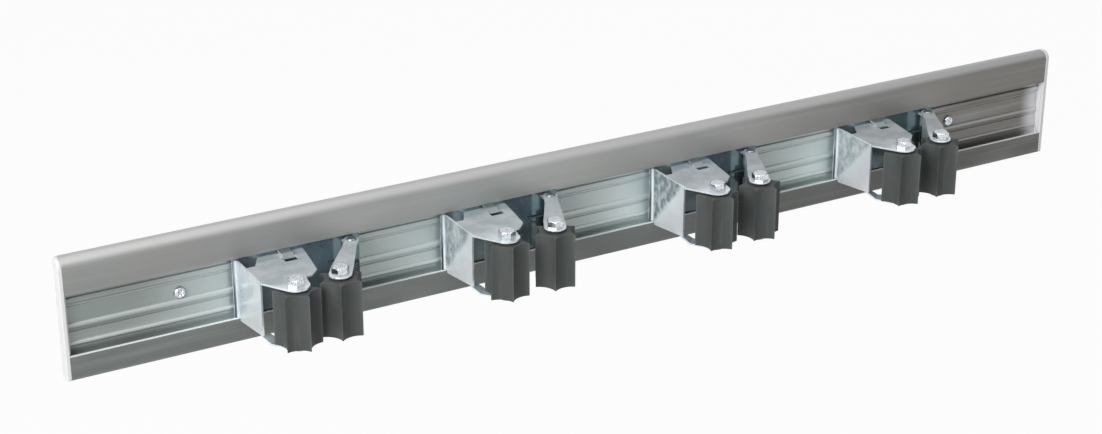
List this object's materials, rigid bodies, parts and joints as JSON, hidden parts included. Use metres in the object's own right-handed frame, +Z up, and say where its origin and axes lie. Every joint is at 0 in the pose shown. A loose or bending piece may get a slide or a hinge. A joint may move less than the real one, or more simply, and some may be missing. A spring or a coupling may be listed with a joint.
{
  "type": "wall tool holder",
  "caption": "Wall tool holder: an aluminium rail with white end caps and sliding spring clips, each gripping a handle between two ribbed rubber rollers.",
  "frame": {"origin": "centre of the rail's length and height, on its back face that lies on the wall", "axes": "+X along the rail to its right end as seen from the front, +Y into the wall, +Z up; the clips point along -Y"},
  "size_m": [1, 0.1261, 0.105],
  "materials": {
    "anodised_aluminium": "satin",
    "cap_plastic": "satin",
    "zinc_sheet": "gloss",
    "bright_zinc": "gloss",
    "grip_rubber": "matt",
    "spring_steel": "satin"
  },
  "bodies": {
    "rail_body": {"rail": "anodised_aluminium", "cap_left": "cap_plastic", "cap_right": "cap_plastic", "wall_screws": "bright_zinc"},
    "clip_1_carrier": {"clip_1_bracket": "zinc_sheet", "clip_1_fixed_axle": "bright_zinc", "clip_1_fixed_retainer": "bright_zinc", "clip_1_hinge_pin": "bright_zinc", "clip_1_spacer": "bright_zinc", "clip_1_spring": "spring_steel"},
    "clip_1_fixed_roller_body": {"clip_1_fixed_roller": "grip_rubber"},
    "clip_1_arm_body": {"clip_1_arm": "zinc_sheet", "clip_1_swing_axle": "bright_zinc", "clip_1_swing_retainer": "bright_zinc"},
    "clip_1_swing_roller_body": {"clip_1_swing_roller": "grip_rubber"},
    "clip_2_carrier": {"clip_2_bracket": "zinc_sheet", "clip_2_fixed_axle": "bright_zinc", "clip_2_fixed_retainer": "bright_zinc", "clip_2_hinge_pin": "bright_zinc", "clip_2_spacer": "bright_zinc", "clip_2_spring": "spring_steel"},
    "clip_2_fixed_roller_body": {"clip_2_fixed_roller": "grip_rubber"},
    "clip_2_arm_body": {"clip_2_arm": "zinc_sheet", "clip_2_swing_axle": "bright_zinc", "clip_2_swing_retainer": "bright_zinc"},
    "clip_2_swing_roller_body": {"clip_2_swing_roller": "grip_rubber"},
    "clip_3_carrier": {"clip_3_bracket": "zinc_sheet", "clip_3_fixed_axle": "bright_zinc", "clip_3_fixed_retainer": "bright_zinc", "clip_3_hinge_pin": "bright_zinc", "clip_3_spacer": "bright_zinc", "clip_3_spring": "spring_steel"},
    "clip_3_fixed_roller_body": {"clip_3_fixed_roller": "grip_rubber"},
    "clip_3_arm_body": {"clip_3_arm": "zinc_sheet", "clip_3_swing_axle": "bright_zinc", "clip_3_swing_retainer": "bright_zinc"},
    "clip_3_swing_roller_body": {"clip_3_swing_roller": "grip_rubber"},
    "clip_4_carrier": {"clip_4_bracket": "zinc_sheet", "clip_4_fixed_axle": "bright_zinc", "clip_4_fixed_retainer": "bright_zinc", "clip_4_hinge_pin": "bright_zinc", "clip_4_spacer": "bright_zinc", "clip_4_spring": "spring_steel"},
    "clip_4_fixed_roller_body": {"clip_4_fixed_roller": "grip_rubber"},
    "clip_4_arm_body": {"clip_4_arm": "zinc_sheet", "clip_4_swing_axle": "bright_zinc", "clip_4_swing_retainer": "bright_zinc"},
    "clip_4_swing_roller_body": {"clip_4_swing_roller": "grip_rubber"}
  },
  "joints": [
    {"name": "clip_1_slide", "type": "slide", "parent": "rail_body", "child": "clip_1_carrier", "axis": [1, 0, 0], "range_m": [-0.03, 0.03]},
    {"name": "clip_1_fixed_roller_spin", "type": "hinge", "parent": "clip_1_carrier", "child": "clip_1_fixed_roller_body", "pos_m": [-0.3292, -0.077, 0], "axis": [0, 0, 1], "continuous": true},
    {"name": "clip_1_arm_swing", "type": "hinge", "parent": "clip_1_carrier", "child": "clip_1_arm_body", "pos_m": [-0.2532, -0.017, 0], "axis": [0, 0, 1], "range_deg": [-0.4, 27.6], "stiffness_Nm_per_rad": 0.5, "deforming": ["clip_1_spring"]},
    {"name": "clip_1_swing_roller_spin", "type": "hinge", "parent": "clip_1_arm_body", "child": "clip_1_swing_roller_body", "pos_m": [-0.28958, -0.0741, 0], "axis": [0, 0, 1], "continuous": true},
    {"name": "clip_2_slide", "type": "slide", "parent": "rail_body", "child": "clip_2_carrier", "axis": [1, 0, 0], "range_m": [-0.03, 0.03]},
    {"name": "clip_2_fixed_roller_spin", "type": "hinge", "parent": "clip_2_carrier", "child": "clip_2_fixed_roller_body", "pos_m": [-0.1397, -0.077, 0], "axis": [0, 0, 1], "continuous": true},
    {"name": "clip_2_arm_swing", "type": "hinge", "parent": "clip_2_carrier", "child": "clip_2_arm_body", "pos_m": [-0.0637, -0.017, 0], "axis": [0, 0, 1], "range_deg": [-6.5, 21.5], "stiffness_Nm_per_rad": 0.5, "deforming": ["clip_2_spring"]},
    {"name": "clip_2_swing_roller_spin", "type": "hinge", "parent": "clip_2_arm_body", "child": "clip_2_swing_roller_body", "pos_m": [-0.0938, -0.07764, 0], "axis": [0, 0, 1], "continuous": true},
    {"name": "clip_3_slide", "type": "slide", "parent": "rail_body", "child": "clip_3_carrier", "axis": [1, 0, 0], "range_m": [-0.03, 0.03]},
    {"name": "clip_3_fixed_roller_spin", "type": "hinge", "parent": "clip_3_carrier", "child": "clip_3_fixed_roller_body", "pos_m": [0.0694, -0.077, 0], "axis": [0, 0, 1], "continuous": true},
    {"name": "clip_3_arm_swing", "type": "hinge", "parent": "clip_3_carrier", "child": "clip_3_arm_body", "pos_m": [0.1454, -0.017, 0], "axis": [0, 0, 1], "range_deg": [-5.3, 22.7], "stiffness_Nm_per_rad": 0.5, "deforming": ["clip_3_spring"]},
    {"name": "clip_3_swing_roller_spin", "type": "hinge", "parent": "clip_3_arm_body", "child": "clip_3_swing_roller_body", "pos_m": [0.11403, -0.077, 0], "axis": [0, 0, 1], "continuous": true},
    {"name": "clip_4_slide", "type": "slide", "parent": "rail_body", "child": "clip_4_carrier", "axis": [1, 0, 0], "range_m": [-0.03, 0.03]},
    {"name": "clip_4_fixed_roller_spin", "type": "hinge", "parent": "clip_4_carrier", "child": "clip_4_fixed_roller_body", "pos_m": [0.2727, -0.077, 0], "axis": [0, 0, 1], "continuous": true},
    {"name": "clip_4_arm_swing", "type": "hinge", "parent": "clip_4_carrier", "child": "clip_4_arm_body", "pos_m": [0.3487, -0.017, 0], "axis": [0, 0, 1], "range_deg": [-4, 24], "stiffness_Nm_per_rad": 0.5, "deforming": ["clip_4_spring"]},
    {"name": "clip_4_swing_roller_spin", "type": "hinge", "parent": "clip_4_arm_body", "child": "clip_4_swing_roller_body", "pos_m": [0.31598, -0.07627, 0], "axis": [0, 0, 1], "continuous": true}
  ]
}
